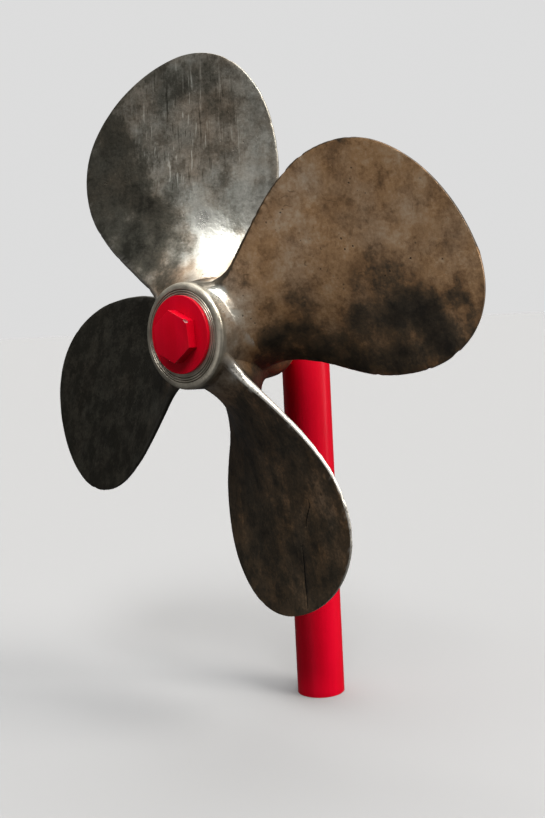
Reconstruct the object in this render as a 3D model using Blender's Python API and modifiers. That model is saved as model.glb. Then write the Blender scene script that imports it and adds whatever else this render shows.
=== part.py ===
"""Four-bladed ship propeller, held on a round post by a disc and a hexagonal nut.

Metres, +Z up. The origin is the centre of the post's foot at ground level. The shaft line lies
level along Y, and the nut faces -Y. "Aft" counts from the blades' generator line towards the
nut, so a piece's aft place grows towards -Y.
"""

import math

import bmesh
import bpy
from mathutils import Vector

# Fits
SEAT_GAP = 0.0003
ROUND_STEPS = 40

# Where the propeller hangs
HUB_HEIGHT = 1.70
HUB_OVERHANG = 0.515
BLADE_COUNT = 4
BLADE_TURN = math.radians(-13.4)

# Blades: a right-handed propeller, its sections wrapped round the shaft line
TIP_RADIUS = 1.22
ROOT_RADIUS = 0.244
PITCH_AT_TIP = 1.92
PITCH_AT_ROOT = 1.535
FORWARD_RAKE = 0.030
# How far each edge reaches from the generator line, from tip to root, stations closer at the tip
LEADING_REACH = (0.037, 0.160, 0.267, 0.345, 0.394, 0.404, 0.377, 0.294, 0.175)
TRAILING_REACH = (-0.037, 0.169, 0.361, 0.503, 0.567, 0.567, 0.499, 0.382, 0.247)
ROOT_THICKNESS = 0.095
TIP_THICKNESS = 0.015
ROOT_EDGE_THICKNESS = 0.030
TIP_EDGE_THICKNESS = 0.011
SECTIONS_PER_BLADE = 17
FILLET_SECTIONS = 8

# Root fillets: how far out of the boss each one starts, and how far it spreads at its foot
PRESSURE_FILLET_RISE = 0.330
PRESSURE_FILLET_REACH = 0.185
SUCTION_FILLET_RISE = 0.108
SUCTION_FILLET_REACH = 0.070
EDGE_FILLET_RISE = 0.128
LEADING_FILLET_REACH = 0.050
TRAILING_FILLET_REACH = 0.118
# How much of the faces' fillets is left at each edge
LEADING_FILL = 1.0
TRAILING_FILL = 0.12
FILLET_SINK = 0.010
FILLET_GIVE = 0.030

# Boss, turned and bored to a taper
BOSS_AFT_END = 0.269
BOSS_FORWARD_END = 0.244
BOSS_RADIUS = 0.222
BOSS_FACE_RADIUS = 0.192
TURNED_EDGE_RADIUS = 0.218
TURNED_EDGE_DEPTH = 0.018
TURNING_REACH = 0.075
BOSS_FORWARD_RADIUS = 0.204
BOSS_FORWARD_ROUND = 0.016
BORE_AFT_RADIUS = 0.100
BORE_FORWARD_RADIUS = 0.120
KEYWAY_WIDTH = 0.045
KEYWAY_DEPTH = 0.014
KEYWAY_LENGTH = 0.300
BORE_RUN_OUT = 0.005

# Disc and nut
DISC_RADIUS = 0.159
DISC_THICKNESS = 0.016
DISC_LIFT = 0.007
DISC_HOLE_CLEARANCE = 0.009
NUT_CORNER_RADIUS = 0.108
NUT_THICKNESS = 0.044
NUT_TURN = math.radians(5.5)
NUT_FACE_WALL = 0.014
STUD_RADIUS = 0.055
STUD_TAIL = 0.012

# Arm that carries the propeller
ARM_RADIUS = 0.08415
ARM_WALL = 0.011
ARM_REAR_REACH = 0.030
ARM_END_INSET = 0.006
ARM_PLUG_THICKNESS = 0.040
CENTRING_RING_LENGTH = 0.060
CENTRING_RING_INSET = 0.008
THRUST_COLLAR_RADIUS = 0.165
THRUST_COLLAR_THICKNESS = 0.025
REAR_CAP_LIP = 0.006
REAR_CAP_THICKNESS = 0.010
GUSSET_THICKNESS = 0.016
GUSSET_DEPTH_AT_COLLAR = 0.040
GUSSET_DEPTH_AT_POST = 0.070

# Post
POST_RADIUS = 0.10955
POST_WALL = 0.0082
POST_ABOVE_HUB = 0.215
POST_CAP_THICKNESS = 0.010
EDGE_CHAMFER = 0.0015


def start_scene():
    """Clear the scene, and give the collections for the parts and for the cutters."""
    for obj in list(bpy.data.objects):
        bpy.data.objects.remove(obj, do_unlink=True)
    made = []
    for name in ("ship_propeller", "cutters"):
        collection = bpy.data.collections.new(name)
        bpy.context.scene.collection.children.link(collection)
        made.append(collection)
    return made


PARTS, CUTTERS = start_scene()


def shaft_line():
    """An empty at the hub whose +Z points aft along the shaft line and whose +Y points up."""
    line = bpy.data.objects.new("shaft_line", None)
    line.location = (0, -HUB_OVERHANG, HUB_HEIGHT)
    line.rotation_euler = (math.radians(90), 0, 0)
    PARTS.objects.link(line)
    return line


SHAFT_LINE = shaft_line()


def finish(name, colour, roughness, metallic):
    material = bpy.data.materials.new(name)
    material.use_nodes = True
    shader = material.node_tree.nodes["Principled BSDF"]
    shader.inputs["Base Color"].default_value = (*colour, 1)
    shader.inputs["Roughness"].default_value = roughness
    shader.inputs["Metallic"].default_value = metallic
    return material


BRONZE = finish("weathered_bronze", (0.20, 0.15, 0.10), 0.45, 0.8)
RED_PAINT = finish("red_gloss_paint", (0.55, 0.0, 0.03), 0.3, 0.0)
STEEL = finish("bare_steel", (0.35, 0.34, 0.33), 0.5, 1.0)
CONCRETE = finish("concrete", (0.45, 0.44, 0.41), 0.9, 0.0)


def add_part(name, mesh, material, parent=None):
    obj = bpy.data.objects.new(name, mesh)
    obj.data.materials.append(material)
    obj.parent = parent
    PARTS.objects.link(obj)
    return obj


def add_cutter(name, mesh, parent=None):
    obj = bpy.data.objects.new(name, mesh)
    obj.parent = parent
    obj.hide_render = True
    obj.display_type = "WIRE"
    CUTTERS.objects.link(obj)
    return obj


def mesh_of(name, shape):
    """Turn a finished bmesh into a mesh, shaded smooth with its hard edges kept."""
    mesh = bpy.data.meshes.new(name)
    shape.to_mesh(mesh)
    shape.free()
    mesh.shade_smooth()
    mesh.set_sharp_from_angle(angle=math.radians(30))
    return mesh


def turn(obj, steps=ROUND_STEPS):
    """Spin the object's profile round its own Z axis."""
    screw = obj.modifiers.new("turned", "SCREW")
    screw.steps = steps
    screw.render_steps = steps
    screw.use_merge_vertices = True
    screw.merge_threshold = 0.00001
    return obj


def profile_mesh(name, points, closed):
    """A profile of (radius, height) points, its outer side running from top to bottom."""
    shape = bmesh.new()
    verts = [shape.verts.new((radius, 0, height)) for radius, height in points]
    for first, second in zip(verts, verts[1:]):
        shape.edges.new((first, second))
    if closed:
        shape.edges.new((verts[-1], verts[0]))
    return mesh_of(name, shape)


def disc_profile(radius, low, high, chamfer=EDGE_CHAMFER):
    return (
        (0, high),
        (radius - chamfer, high),
        (radius, high - chamfer),
        (radius, low + chamfer),
        (radius - chamfer, low),
        (0, low),
    )


def ring_profile(inner, outer, low, high, chamfer=EDGE_CHAMFER):
    return (
        (outer - chamfer, high),
        (outer, high - chamfer),
        (outer, low + chamfer),
        (outer - chamfer, low),
        (inner, low),
        (inner, high),
    )


def rod_cutter(name, radius, low, high, parent):
    """A solid round bar from low to high on its parent's Z axis."""
    profile = ((0, high), (radius, high), (radius, low), (0, low))
    return turn(add_cutter(name, profile_mesh(name, profile, closed=False), parent))


def box_mesh(name, low, high):
    shape = bmesh.new()
    bmesh.ops.create_cube(shape, size=1)
    low, high = Vector(low), Vector(high)
    for vert in shape.verts:
        centre = (low + high) / 2
        vert.co = centre + vert.co * (high - low)
    return mesh_of(name, shape)


def cut(obj, cutter):
    boolean = obj.modifiers.new("cut_" + cutter.name, "BOOLEAN")
    boolean.operation = "DIFFERENCE"
    boolean.object = cutter


def fuse(obj, other):
    boolean = obj.modifiers.new("fuse_" + other.name, "BOOLEAN")
    boolean.operation = "UNION"
    boolean.object = other


def smooth_value(values, share):
    """The value at a share of the way along evenly spaced values, on a smooth curve."""
    place = share * (len(values) - 1)
    i = min(int(place), len(values) - 2)
    t = place - i
    here, there = values[i], values[i + 1]
    before = values[i - 1] if i > 0 else 2 * here - there
    after = values[i + 2] if i + 2 < len(values) else 2 * there - here
    slope_here = (there - before) / 2
    slope_there = (after - here) / 2
    rise = there - here
    return here + t * (
        slope_here
        + t * (3 * rise - 2 * slope_here - slope_there)
        + t * t * (slope_here + slope_there - 2 * rise)
    )


def outward_share(radius):
    """0 at the blade's root radius and 1 at its tip."""
    return max(0, (radius - ROOT_RADIUS) / (TIP_RADIUS - ROOT_RADIUS))


def fillet_offset(radius, rise, reach):
    """How far an elliptical root fillet stands off its face at this radius."""
    start = BOSS_RADIUS + rise
    depth = (start - radius) / (rise + FILLET_SINK)
    if depth <= 0:
        return 0
    return reach * (1 - math.sqrt(1 - depth**2))


def fillet_share(x):
    """How much of a face's fillet there is at a share of the way from leading to trailing edge."""
    middle_extra = 1 - (LEADING_FILL + TRAILING_FILL) / 2
    line = LEADING_FILL + (TRAILING_FILL - LEADING_FILL) * x
    return line + middle_extra * math.sin(math.pi * x)


def section_outline(radius):
    """(along, aft) points of one section laid flat: leading edge at +along, pressure face aft."""
    share = outward_share(radius)
    station = math.sqrt(1 - share)
    pressure_fill = fillet_offset(radius, PRESSURE_FILLET_RISE, PRESSURE_FILLET_REACH)
    suction_fill = fillet_offset(radius, SUCTION_FILLET_RISE, SUCTION_FILLET_REACH)
    leading_fill = fillet_offset(radius, EDGE_FILLET_RISE, LEADING_FILLET_REACH)
    trailing_fill = fillet_offset(radius, EDGE_FILLET_RISE, TRAILING_FILLET_REACH)
    leading = smooth_value(LEADING_REACH, station) + leading_fill
    trailing = smooth_value(TRAILING_REACH, station) + trailing_fill
    thickness = TIP_THICKNESS + (ROOT_THICKNESS - TIP_THICKNESS) * (1 - share) ** 1.1
    edge = TIP_EDGE_THICKNESS + (ROOT_EDGE_THICKNESS - TIP_EDGE_THICKNESS) * (1 - share) ** 1.5
    leading_nose = min((edge + leading_fill) / 2, (leading + trailing) / 4)
    trailing_nose = min((edge + trailing_fill) / 2, (leading + trailing) / 4)
    span = leading + trailing - leading_nose - trailing_nose
    points = []
    for angle in (50, 0, -50):
        a = math.radians(angle)
        fill = pressure_fill if angle > 0 else suction_fill
        height = edge / 2 + fill * fillet_share(0)
        points.append((leading - leading_nose * (1 - math.cos(a)), height * math.sin(a)))
    for x in (0.0, 0.08, 0.2, 0.35, 0.5, 0.65, 0.8, 0.92, 1.0):
        swell = math.sin(math.pi * x**0.85) if 0 < x < 1 else 0
        height = edge / 2 + (thickness - edge) * swell + suction_fill * fillet_share(x)
        points.append((leading - leading_nose - span * x, -height))
    for angle in (-50, 0, 50):
        a = math.radians(angle)
        fill = pressure_fill if angle > 0 else suction_fill
        height = edge / 2 + fill * fillet_share(1)
        points.append((-trailing + trailing_nose * (1 - math.cos(a)), height * math.sin(a)))
    for x in (1.0, 0.85, 0.65, 0.5, 0.35, 0.15, 0.0):
        height = edge / 2 + pressure_fill * fillet_share(x)
        points.append((leading - leading_nose - span * x, height))
    return points


def soft_limit(value, limit):
    """The value, eased so that it nears the limit and never passes it."""
    excess = value - (limit - FILLET_GIVE)
    if excess <= 0:
        return value
    return limit - FILLET_GIVE * math.exp(-excess / FILLET_GIVE)


def blade_section(radius, wrap_radius=None):
    """One section's points, wrapped at its pitch on the cylinder of this radius."""
    share = outward_share(radius)
    pitch = PITCH_AT_ROOT + (PITCH_AT_TIP - PITCH_AT_ROOT) * share
    helix = math.atan2(pitch, math.tau * radius)
    rake = FORWARD_RAKE * share * (2.4 - 1.4 * share)
    wrap = wrap_radius or radius
    near_boss = radius < BOSS_RADIUS + PRESSURE_FILLET_RISE
    aft_limit = BOSS_AFT_END - TURNED_EDGE_DEPTH + FILLET_SINK / 2
    forward_limit = BOSS_FORWARD_END - BOSS_FORWARD_ROUND
    points = []
    for along, aft in section_outline(radius):
        around = (along * math.cos(helix) + aft * math.sin(helix)) / radius
        back = aft * math.cos(helix) - along * math.sin(helix) - rake
        if near_boss:
            back = soft_limit(back, aft_limit)
            back = -soft_limit(-back, forward_limit)
        points.append((wrap * math.sin(around), wrap * math.cos(around), back))
    return points


def blade_mesh():
    """One blade with its root fillets, lofted from its tip down into the boss."""
    fillet_top = BOSS_RADIUS + EDGE_FILLET_RISE
    fillet_foot = BOSS_RADIUS - FILLET_SINK * 0.6
    first = 0.045
    last = math.sqrt((TIP_RADIUS - fillet_top) / (TIP_RADIUS - ROOT_RADIUS))
    radii = []
    for i in range(SECTIONS_PER_BLADE):
        station = first + (last - first) * i / SECTIONS_PER_BLADE
        radii.append(TIP_RADIUS - (TIP_RADIUS - ROOT_RADIUS) * station**2)
    for i in range(FILLET_SECTIONS):
        height = (1 - i / (FILLET_SECTIONS - 1)) ** 1.6
        radii.append(fillet_foot + (fillet_top - fillet_foot) * height)
    shape = bmesh.new()
    rings = []
    for radius in radii:
        rings.append([shape.verts.new(point) for point in blade_section(radius)])
    # The root runs on down into the bore, where the boring cuts it off.
    buried = BORE_AFT_RADIUS * 0.9
    rings.append([shape.verts.new(point) for point in blade_section(radii[-1], buried)])
    for upper, lower in zip(rings, rings[1:]):
        count = len(upper)
        for i in range(count):
            j = (i + 1) % count
            shape.faces.new((upper[i], upper[j], lower[j], lower[i]))
    shape.faces.new(reversed(rings[0]))
    shape.faces.new(rings[-1])
    bmesh.ops.recalc_face_normals(shape, faces=shape.faces)
    return mesh_of("blade", shape)


def boss_profile():
    """The solid boss from its aft face down its outer side to its forward face."""
    round_start = -BOSS_FORWARD_END + BOSS_FORWARD_ROUND
    body_top = BOSS_AFT_END - TURNED_EDGE_DEPTH
    points = [(0, BOSS_AFT_END), (TURNED_EDGE_RADIUS, BOSS_AFT_END)]
    barrel_steps = 6
    for i in range(barrel_steps + 1):
        t = i / barrel_steps
        height = body_top + (round_start - body_top) * t
        line = TURNED_EDGE_RADIUS + (BOSS_FORWARD_RADIUS - TURNED_EDGE_RADIUS) * t
        crown = BOSS_RADIUS - (TURNED_EDGE_RADIUS + BOSS_FORWARD_RADIUS) / 2
        points.append((line + crown * 4 * t * (1 - t), height))
    for angle in (30, 60, 90):
        a = math.radians(angle)
        radius = BOSS_FORWARD_RADIUS - BOSS_FORWARD_ROUND * (1 - math.cos(a))
        points.append((radius, round_start - BOSS_FORWARD_ROUND * math.sin(a)))
    points.append((0, -BOSS_FORWARD_END))
    return points


def turning_profile():
    """What the lathe takes off round the aft end: it rounds the edge and faces the fillets."""
    foot = BOSS_AFT_END - TURNED_EDGE_DEPTH
    clear = BOSS_AFT_END + TURNED_EDGE_DEPTH
    outside = TURNED_EDGE_RADIUS + TURNING_REACH
    edge_width = TURNED_EDGE_RADIUS - BOSS_FACE_RADIUS
    points = [(outside, clear), (outside, foot)]
    for angle in (0, 30, 60, 90):
        a = math.radians(angle)
        radius = BOSS_FACE_RADIUS + edge_width * math.cos(a)
        points.append((radius, foot + TURNED_EDGE_DEPTH * math.sin(a)))
    points.append((BOSS_FACE_RADIUS, clear))
    return points


def bore_radius(aft):
    """The tapered bore's radius at this place along the shaft line."""
    share = (aft + BOSS_FORWARD_END) / (BOSS_AFT_END + BOSS_FORWARD_END)
    return BORE_FORWARD_RADIUS + (BORE_AFT_RADIUS - BORE_FORWARD_RADIUS) * share


def make_propeller():
    """One casting: the boss and the blades that grow out of it, then turned, bored and slotted."""
    mesh = profile_mesh("propeller", boss_profile(), closed=False)
    propeller = turn(add_part("propeller", mesh, BRONZE, SHAFT_LINE), steps=64)
    blade = blade_mesh()
    for i in range(BLADE_COUNT):
        blank = add_cutter(f"blade_{i + 1}", blade, SHAFT_LINE)
        blank.rotation_euler = (0, 0, -BLADE_TURN - math.tau * i / BLADE_COUNT)
        fuse(propeller, blank)
    mesh = profile_mesh("turned_end", turning_profile(), closed=True)
    cut(propeller, turn(add_cutter("turned_end", mesh, SHAFT_LINE), steps=64))
    over = BORE_RUN_OUT
    profile = (
        (0, BOSS_AFT_END + over),
        (bore_radius(BOSS_AFT_END + over), BOSS_AFT_END + over),
        (bore_radius(-BOSS_FORWARD_END - over), -BOSS_FORWARD_END - over),
        (0, -BOSS_FORWARD_END - over),
    )
    mesh = profile_mesh("bore", profile, closed=False)
    cut(propeller, turn(add_cutter("bore", mesh, SHAFT_LINE)))
    half = KEYWAY_WIDTH / 2
    low = (-half, 0, -BOSS_FORWARD_END - over)
    high = (half, BORE_FORWARD_RADIUS + KEYWAY_DEPTH, -BOSS_FORWARD_END + KEYWAY_LENGTH)
    cut(propeller, add_cutter("keyway", box_mesh("keyway", low, high), SHAFT_LINE))


def centring_ring(name, low):
    """A ring between the arm and the tapered bore, its outside turned to the bore's taper."""
    high = low + CENTRING_RING_LENGTH
    profile = (
        (bore_radius(high) - SEAT_GAP, high),
        (bore_radius(low) - SEAT_GAP, low),
        (ARM_RADIUS + SEAT_GAP, low),
        (ARM_RADIUS + SEAT_GAP, high),
    )
    return turn(add_part(name, profile_mesh(name, profile, closed=True), STEEL, SHAFT_LINE))


def make_centring_rings():
    centring_ring("aft_centring_ring", BOSS_AFT_END - CENTRING_RING_INSET - CENTRING_RING_LENGTH)
    low = -BOSS_FORWARD_END + CENTRING_RING_INSET
    ring = centring_ring("forward_centring_ring", low)
    half = KEYWAY_WIDTH / 2
    slot_low = (-half, 0, low - CENTRING_RING_INSET)
    slot_high = (half, BORE_FORWARD_RADIUS * 1.2, low + CENTRING_RING_LENGTH + CENTRING_RING_INSET)
    cut(ring, add_cutter("key_slot", box_mesh("key_slot", slot_low, slot_high), SHAFT_LINE))
    # The key stands on the arm, in the ring's slot, and reaches into the boss's keyway.
    half -= SEAT_GAP
    root = ARM_RADIUS + SEAT_GAP
    top = BORE_FORWARD_RADIUS + KEYWAY_DEPTH - SEAT_GAP
    key = box_mesh("locking_key", (-half, root, low), (half, top, low + CENTRING_RING_LENGTH))
    add_part("locking_key", key, STEEL, SHAFT_LINE)


def make_disc_and_nut():
    disc_low = BOSS_AFT_END + SEAT_GAP
    disc_high = BOSS_AFT_END + DISC_THICKNESS
    hole = STUD_RADIUS + DISC_HOLE_CLEARANCE
    profile = ring_profile(hole, DISC_RADIUS, disc_low, disc_high)
    mesh = profile_mesh("retaining_disc", profile, closed=True)
    disc = turn(add_part("retaining_disc", mesh, RED_PAINT, SHAFT_LINE), steps=64)
    disc.location = (0, DISC_LIFT, 0)

    nut_low = disc_high + SEAT_GAP
    shape = bmesh.new()
    bmesh.ops.create_cone(
        shape,
        cap_ends=True,
        segments=6,
        radius1=NUT_CORNER_RADIUS,
        radius2=NUT_CORNER_RADIUS,
        depth=NUT_THICKNESS,
    )
    bmesh.ops.translate(shape, verts=shape.verts, vec=(0, 0, nut_low + NUT_THICKNESS / 2))
    nut = add_part("hex_nut", mesh_of("hex_nut", shape), RED_PAINT, SHAFT_LINE)
    nut.rotation_euler = (0, 0, NUT_TURN)
    bevel = nut.modifiers.new("edges", "BEVEL")
    bevel.width = EDGE_CHAMFER
    bevel.segments = 1
    bevel.limit_method = "ANGLE"
    thread_top = nut_low + NUT_THICKNESS - NUT_FACE_WALL
    thread_low = nut_low - DISC_THICKNESS
    thread_radius = STUD_RADIUS + SEAT_GAP
    cut(nut, rod_cutter("nut_thread", thread_radius, thread_low, thread_top, SHAFT_LINE))
    return thread_top


def make_arm(stud_top):
    aft_end = BOSS_AFT_END - ARM_END_INSET
    rear_end = -(HUB_OVERHANG + POST_RADIUS + ARM_REAR_REACH)
    inside = ARM_RADIUS - ARM_WALL
    profile = ring_profile(inside, ARM_RADIUS, rear_end, aft_end)
    turn(add_part("arm_pipe", profile_mesh("arm_pipe", profile, closed=True), RED_PAINT, SHAFT_LINE))

    cap_high = rear_end - SEAT_GAP
    profile = disc_profile(ARM_RADIUS + REAR_CAP_LIP, cap_high - REAR_CAP_THICKNESS, cap_high)
    mesh = profile_mesh("arm_rear_cap", profile, closed=False)
    turn(add_part("arm_rear_cap", mesh, RED_PAINT, SHAFT_LINE))

    plug_low = aft_end - ARM_PLUG_THICKNESS
    profile = ring_profile(STUD_RADIUS + SEAT_GAP, inside - SEAT_GAP, plug_low, aft_end)
    turn(add_part("arm_plug", profile_mesh("arm_plug", profile, closed=True), STEEL, SHAFT_LINE))

    profile = disc_profile(STUD_RADIUS, plug_low - STUD_TAIL, stud_top - SEAT_GAP)
    turn(add_part("nut_stud", profile_mesh("nut_stud", profile, closed=False), STEEL, SHAFT_LINE))

    collar_high = -BOSS_FORWARD_END - SEAT_GAP
    collar_low = collar_high - THRUST_COLLAR_THICKNESS
    profile = ring_profile(ARM_RADIUS + SEAT_GAP, THRUST_COLLAR_RADIUS, collar_low, collar_high)
    mesh = profile_mesh("thrust_collar", profile, closed=True)
    turn(add_part("thrust_collar", mesh, RED_PAINT, SHAFT_LINE))
    return collar_low


def make_gussets(collar_low):
    """Two upright plates over and under the arm, between the thrust collar and the post."""
    near = collar_low - SEAT_GAP
    far = -(HUB_OVERHANG - POST_RADIUS) + SEAT_GAP
    root = ARM_RADIUS + SEAT_GAP
    for name, side in (("upper_gusset", 1), ("lower_gusset", -1)):
        outline = (
            (root, near),
            (root + GUSSET_DEPTH_AT_COLLAR, near),
            (root + GUSSET_DEPTH_AT_POST, far),
            (root, far),
        )
        curve = bpy.data.curves.new(name, "CURVE")
        curve.dimensions = "2D"
        curve.fill_mode = "BOTH"
        curve.extrude = GUSSET_THICKNESS / 2
        spline = curve.splines.new("POLY")
        spline.points.add(len(outline) - 1)
        spline.use_cyclic_u = True
        for point, (depth, aft) in zip(spline.points, outline):
            point.co = (side * depth, aft, 0, 1)
        gusset = add_part(name, curve, RED_PAINT, SHAFT_LINE)
        # The curve's own X becomes up and its Y becomes aft, so its thickness lies across.
        gusset.rotation_euler = (math.radians(90), 0, math.radians(90))


def make_post():
    height = HUB_HEIGHT + POST_ABOVE_HUB
    inside = POST_RADIUS - POST_WALL
    profile = ring_profile(inside, POST_RADIUS, 0, height)
    post = add_part("post_pipe", profile_mesh("post_pipe", profile, closed=True), RED_PAINT)
    turn(post)
    low = -(HUB_OVERHANG + 2 * POST_RADIUS)
    high = -(HUB_OVERHANG - 2 * POST_RADIUS)
    hole = rod_cutter("arm_hole", ARM_RADIUS + SEAT_GAP, low, high, SHAFT_LINE)
    cut(post, hole)

    profile = disc_profile(inside - SEAT_GAP, 0, height)
    mesh = profile_mesh("post_concrete_core", profile, closed=False)
    core = turn(add_part("post_concrete_core", mesh, CONCRETE))
    cut(core, hole)

    cap_low = height + SEAT_GAP
    profile = disc_profile(POST_RADIUS, cap_low, cap_low + POST_CAP_THICKNESS)
    turn(add_part("post_cap", profile_mesh("post_cap", profile, closed=False), RED_PAINT))


make_propeller()
make_centring_rings()
make_gussets(make_arm(make_disc_and_nut()))
make_post()
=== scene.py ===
import math

import bmesh
import bpy
from mathutils import Matrix, Vector, noise


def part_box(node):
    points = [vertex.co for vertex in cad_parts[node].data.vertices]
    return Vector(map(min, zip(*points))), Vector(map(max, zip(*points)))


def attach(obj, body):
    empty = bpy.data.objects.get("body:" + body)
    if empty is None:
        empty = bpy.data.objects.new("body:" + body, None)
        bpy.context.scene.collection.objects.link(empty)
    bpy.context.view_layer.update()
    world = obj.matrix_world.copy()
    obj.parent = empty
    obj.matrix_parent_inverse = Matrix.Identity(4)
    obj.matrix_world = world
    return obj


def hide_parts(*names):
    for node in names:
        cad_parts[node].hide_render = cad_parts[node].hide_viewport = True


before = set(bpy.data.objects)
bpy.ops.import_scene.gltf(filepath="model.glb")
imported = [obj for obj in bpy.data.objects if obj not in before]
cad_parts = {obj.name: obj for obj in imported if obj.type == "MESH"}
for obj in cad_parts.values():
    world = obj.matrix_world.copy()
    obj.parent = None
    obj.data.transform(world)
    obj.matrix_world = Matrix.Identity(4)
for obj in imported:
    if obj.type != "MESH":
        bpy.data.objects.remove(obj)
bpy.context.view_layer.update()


# The propeller
# One casting in manganese bronze: four blades that run into the boss with large root fillets. The
# blades are ground by hand, and the boss's nut end is faced, rounded and grooved on a lathe.

BLADE_COUNT = 4
BLADE_TURN = math.radians(-13.4)
TIP_RADIUS = 1.22
ROOT_RADIUS = 0.244
PITCH_AT_TIP = 1.92
PITCH_AT_ROOT = 1.535
FORWARD_RAKE = 0.030
RAKE_BEND = 1.4
# How far each edge reaches from the generator line, from tip to root, stations closer at the tip
LEADING_REACH = (0.037, 0.160, 0.267, 0.345, 0.394, 0.404, 0.377, 0.294, 0.175)
TRAILING_REACH = (-0.037, 0.169, 0.361, 0.503, 0.567, 0.567, 0.499, 0.382, 0.247)
ROOT_THICKNESS = 0.095
TIP_THICKNESS = 0.015
ROOT_EDGE_THICKNESS = 0.030
TIP_EDGE_THICKNESS = 0.011
# How fast the section and its edges thin outwards, and how far its swell leans to the leading edge
THINNING = 1.1
EDGE_THINNING = 1.5
SWELL_LEAN = 0.85

# Root fillets: how far out of the boss each one starts, and how far it spreads at its foot
PRESSURE_FILLET_RISE = 0.330
PRESSURE_FILLET_REACH = 0.185
SUCTION_FILLET_RISE = 0.108
SUCTION_FILLET_REACH = 0.070
EDGE_FILLET_RISE = 0.128
LEADING_FILLET_REACH = 0.050
TRAILING_FILLET_REACH = 0.118
LEADING_FILL = 1.0
TRAILING_FILL = 0.12
FILLET_SINK = 0.010
FILLET_GIVE = 0.030
BURIED_RADIUS = 0.150

# Wear of the edges, and hand grinding of the faces: (bumps in a metre, their height)
WEAR_DENSITY = 30
EDGE_WAVES = 0.0010
EDGE_RIPPLES = 0.0009
EDGE_KNOCKS = 0.012
KNOCKS_FROM = 0.25
GRINDING = ((5, 0.0009), (14, 0.0006))
# Steps through the noise that tell the blades, their two edges and their two faces apart
BLADE_SEED = 7.3
EDGE_SEED = 3.1
FACE_SEED = 0.3

# Boss and its turned end
BOSS_AFT_END = 0.269
BOSS_FORWARD_END = 0.244
BOSS_RADIUS = 0.222
BOSS_FACE_RADIUS = 0.192
TURNED_EDGE_RADIUS = 0.218
TURNED_EDGE_DEPTH = 0.018
TURNING_REACH = 0.075
BOSS_FORWARD_RADIUS = 0.204
BOSS_FORWARD_ROUND = 0.016
BORE_AFT_RADIUS = 0.100
BORE_FORWARD_RADIUS = 0.120
KEYWAY_WIDTH = 0.045
KEYWAY_DEPTH = 0.014
KEYWAY_LENGTH = 0.300
BOSS_STEPS = 256
BARREL_STEPS = 24

# The blade's grid: its points round a section, of which each nose has a share, and its rows from
# the tip to the root
NOSE_SHARE = 0.10
POINTS_ROUND = 80
OUTER_ROWS = 140
FILLET_ROWS = 36
FIRST_STATION = 0.014
FILLET_ROW_CROWDING = 1.6

stud_low, stud_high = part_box("nut_stud")
nut_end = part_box("propeller")[0].y
HUB = Vector((0, nut_end + BOSS_AFT_END, (stud_low.z + stud_high.z) / 2))
# The shaft frame: X to the right, Y up and Z aft, towards the nut
SHAFT_FRAME = Matrix.Translation(HUB) @ Matrix.Rotation(math.radians(90), 4, "X")


def smooth_value(values, share):
    """The value at a share of the way along evenly spaced values, on a smooth curve."""
    place = share * (len(values) - 1)
    i = min(int(place), len(values) - 2)
    t = place - i
    here, there = values[i], values[i + 1]
    before = values[i - 1] if i > 0 else 2 * here - there
    after = values[i + 2] if i + 2 < len(values) else 2 * there - here
    slope_here = (there - before) / 2
    slope_there = (after - here) / 2
    rise = there - here
    return here + t * (
        slope_here
        + t * (3 * rise - 2 * slope_here - slope_there)
        + t * t * (slope_here + slope_there - 2 * rise)
    )


def outward_share(radius):
    """0 at the blade's root radius and 1 at its tip."""
    return max(0, (radius - ROOT_RADIUS) / (TIP_RADIUS - ROOT_RADIUS))


def reaches(radius):
    """How far the leading and the trailing edge lie from the generator line."""
    station = math.sqrt(1 - outward_share(radius))
    return smooth_value(LEADING_REACH, station), smooth_value(TRAILING_REACH, station)


def pitch_angle(radius):
    pitch = PITCH_AT_ROOT + (PITCH_AT_TIP - PITCH_AT_ROOT) * outward_share(radius)
    return math.atan2(pitch, math.tau * radius)


def rake(radius):
    share = outward_share(radius)
    return FORWARD_RAKE * share * (1 + RAKE_BEND - RAKE_BEND * share)


def fillet_offset(radius, rise, reach):
    """How far an elliptical root fillet stands off its face at this radius."""
    depth = (BOSS_RADIUS + rise - radius) / (rise + FILLET_SINK)
    depth = min(1, max(0, depth))
    return reach * (1 - math.sqrt(1 - depth**2))


def fillet_share(x):
    """How much of a face's fillet there is at a share of the way from leading to trailing edge."""
    middle_extra = 1 - (LEADING_FILL + TRAILING_FILL) / 2
    line = LEADING_FILL + (TRAILING_FILL - LEADING_FILL) * x
    return line + middle_extra * math.sin(math.pi * x)


def wear(blade, side, radius):
    """How much the sea and years of knocks have taken off an edge at this radius."""
    place = Vector((radius * WEAR_DENSITY, blade * BLADE_SEED, side * EDGE_SEED))
    waves = 1 + noise.noise(place * 0.4)
    ripples = noise.noise(place * 2.7)
    knocks = max(0, noise.noise(place) - KNOCKS_FROM)
    return EDGE_WAVES * waves + EDGE_RIPPLES * ripples + EDGE_KNOCKS * knocks


def edge_thickness(radius):
    thinning = (1 - outward_share(radius)) ** EDGE_THINNING
    return TIP_EDGE_THICKNESS + (ROOT_EDGE_THICKNESS - TIP_EDGE_THICKNESS) * thinning


def edges(radius):
    """(reach, nose length) of the leading and of the trailing edge, with their fillets."""
    leading, trailing = reaches(radius)
    leading_fill = fillet_offset(radius, EDGE_FILLET_RISE, LEADING_FILLET_REACH)
    trailing_fill = fillet_offset(radius, EDGE_FILLET_RISE, TRAILING_FILLET_REACH)
    leading += leading_fill
    trailing += trailing_fill
    longest = (leading + trailing) / 4
    thickness = edge_thickness(radius)
    leading_nose = min((thickness + leading_fill) / 2, longest)
    trailing_nose = min((thickness + trailing_fill) / 2, longest)
    return (leading, leading_nose), (trailing, trailing_nose)


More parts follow.
